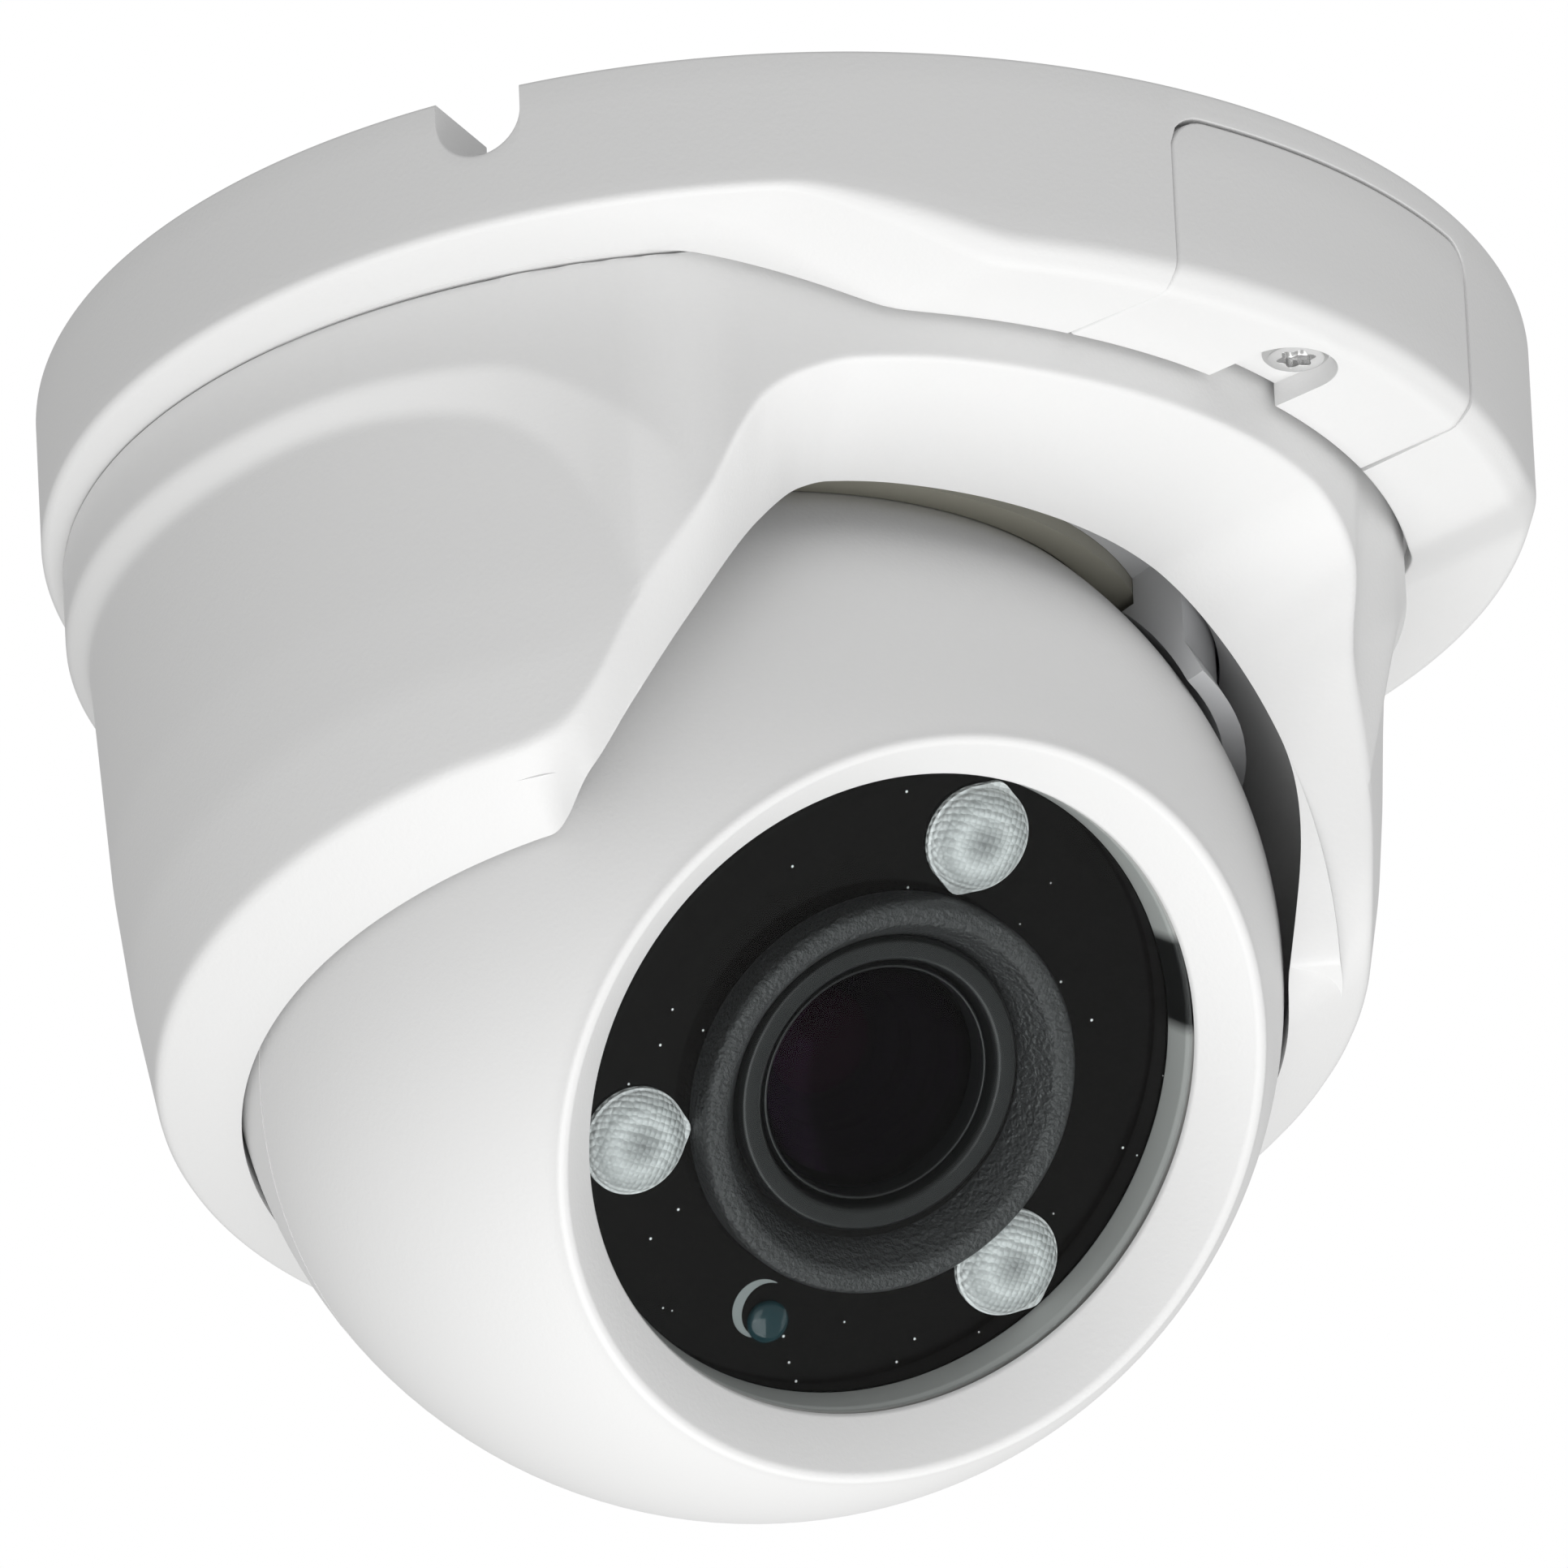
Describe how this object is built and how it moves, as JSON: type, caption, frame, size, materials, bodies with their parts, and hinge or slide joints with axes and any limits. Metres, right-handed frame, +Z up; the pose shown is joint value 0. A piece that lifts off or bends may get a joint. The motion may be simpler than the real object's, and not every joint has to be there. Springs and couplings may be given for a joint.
{
  "type": "dome cctv camera",
  "caption": "Ceiling-mounted turret dome camera with an offset base ring, a panning slotted cover and a tilting eyeball with an infrared ring and varifocal lens.",
  "frame": {"origin": "centre of the ring-shaped ceiling face", "axes": "+Z up into the ceiling, along the pan axis; -Y is the way the slot and lens face at rest"},
  "size_m": [0.126, 0.126, 0.0988],
  "materials": {
    "white_paint": "satin powder coat on die-cast aluminium",
    "foam": "closed-cell foam",
    "rubber": "matt moulded rubber",
    "stainless": "bright stainless steel",
    "circuit_board": "green solder mask",
    "black_plastic": "polished black polycarbonate",
    "button": "moulded",
    "acetal": "natural moulded acetal",
    "grey_plastic": "moulded glass-filled nylon",
    "clear_glass": "flat clear glass",
    "light_plastic": "moulded white plastic",
    "led": "chip package",
    "clear_lens": "moulded clear optics",
    "sensor": "coated silicon",
    "black_metal": "black anodised aluminium",
    "brass_post": "turned brass",
    "aluminium": "extruded",
    "ribbon": "flexible printed circuit",
    "coated_glass": "coated optical glass",
    "filter_glass": "coated filter glass"
  },
  "bodies": {
    "base": {"base_housing": "white_paint", "ceiling_gasket": "foam", "access_cover": "white_paint", "access_cover_gasket": "rubber", "access_cover_screw": "stainless", "service_board": "circuit_board", "card_socket": "stainless", "memory_card": "black_plastic", "reset_switch": "black_plastic", "pan_friction_ring": "acetal"},
    "button": {"reset_button": "button"},
    "turret": {"turret_cover": "white_paint", "pan_bracket": "grey_plastic", "pan_retaining_ring": "stainless", "retainer_screws": "stainless", "ball_seat_ring": "acetal", "cover_screws": "stainless"},
    "tilt_carrier": {"tilt_saddle": "stainless", "saddle_slide_pad": "acetal"},
    "eyeball": {"cable_grommet": "rubber", "ball_rear_shell": "white_paint", "ball_front_shell": "white_paint", "seam_gasket": "rubber", "shell_screws": "stainless", "hollow_stud": "stainless", "stud_clip": "stainless", "window_glass": "clear_glass", "window_gasket": "rubber", "window_clamp_ring": "light_plastic", "led_cover": "black_plastic", "led_board": "circuit_board", "ir_leds": "led", "ir_lens_1": "clear_lens", "ir_lens_2": "clear_lens", "ir_lens_3": "clear_lens", "light_sensor": "sensor", "light_guide": "clear_lens", "lens_foam_ring": "foam", "lens_barrel": "black_metal", "lens_holder": "black_plastic", "image_sensor": "sensor", "sensor_board": "circuit_board", "main_board": "circuit_board", "board_posts": "brass_post", "board_screws": "stainless", "heat_spreader": "aluminium", "board_connectors": "light_plastic", "ribbon_cable": "ribbon", "ir_cut_motor": "brass_post"},
    "focus_ring": {"focus_ring": "black_metal", "focus_lock_screw": "stainless"},
    "zoom_ring": {"zoom_ring": "black_metal", "zoom_lock_screw": "stainless"},
    "front_group": {"lens_front_ring": "black_metal", "lens_front_element": "coated_glass"},
    "rear_group": {"lens_rear_group": "coated_glass"},
    "ir_filter": {"ir_cut_filter": "filter_glass"}
  },
  "joints": [
    {"name": "pan", "type": "hinge", "parent": "base", "child": "turret", "pos_m": [-0.00152, 0.00622, -0.02], "axis": [0, 0, 1], "range_deg": [-175, 175]},
    {"name": "tilt", "type": "hinge", "parent": "turret", "child": "tilt_carrier", "pos_m": [-0.00152, 0.00622, -0.05434], "axis": [-1, 0, 0], "range_deg": [-47.4, 27.6]},
    {"name": "roll", "type": "hinge", "parent": "tilt_carrier", "child": "eyeball", "pos_m": [-0.00152, 0.00622, -0.05434], "axis": [0, -0.7361, -0.6769], "range_deg": [-170, 170]},
    {"name": "focus_turn", "type": "hinge", "parent": "eyeball", "child": "focus_ring", "pos_m": [-0.00152, 0.00622, -0.05434], "axis": [0, -0.7361, -0.6769], "range_deg": [-45, 45]},
    {"name": "focus_travel", "type": "slide", "parent": "eyeball", "child": "front_group", "axis": [0, -0.7361, -0.6769], "range_m": [-0.0008, 0.0008]},
    {"name": "zoom_turn", "type": "hinge", "parent": "eyeball", "child": "zoom_ring", "pos_m": [-0.00152, 0.00622, -0.05434], "axis": [0, -0.7361, -0.6769], "range_deg": [-45, 45]},
    {"name": "zoom_travel", "type": "slide", "parent": "eyeball", "child": "rear_group", "axis": [0, -0.7361, -0.6769], "range_m": [-0.0025, 0.0025]},
    {"name": "ir_filter_shift", "type": "slide", "parent": "eyeball", "child": "ir_filter", "axis": [1, 0, 0], "range_m": [0, 0.006]},
    {"name": "button_press", "type": "slide", "parent": "base", "child": "button", "axis": [-0.2368, 0.9715, 0], "range_m": [0, 0.0003], "stiffness_N_per_m": 300}
  ],
  "couplings": [
    {"joint": "focus_travel", "follows": "focus_turn", "m_per_rad": 0.0009982},
    {"joint": "zoom_travel", "follows": "zoom_turn", "m_per_rad": -0.0031194}
  ]
}
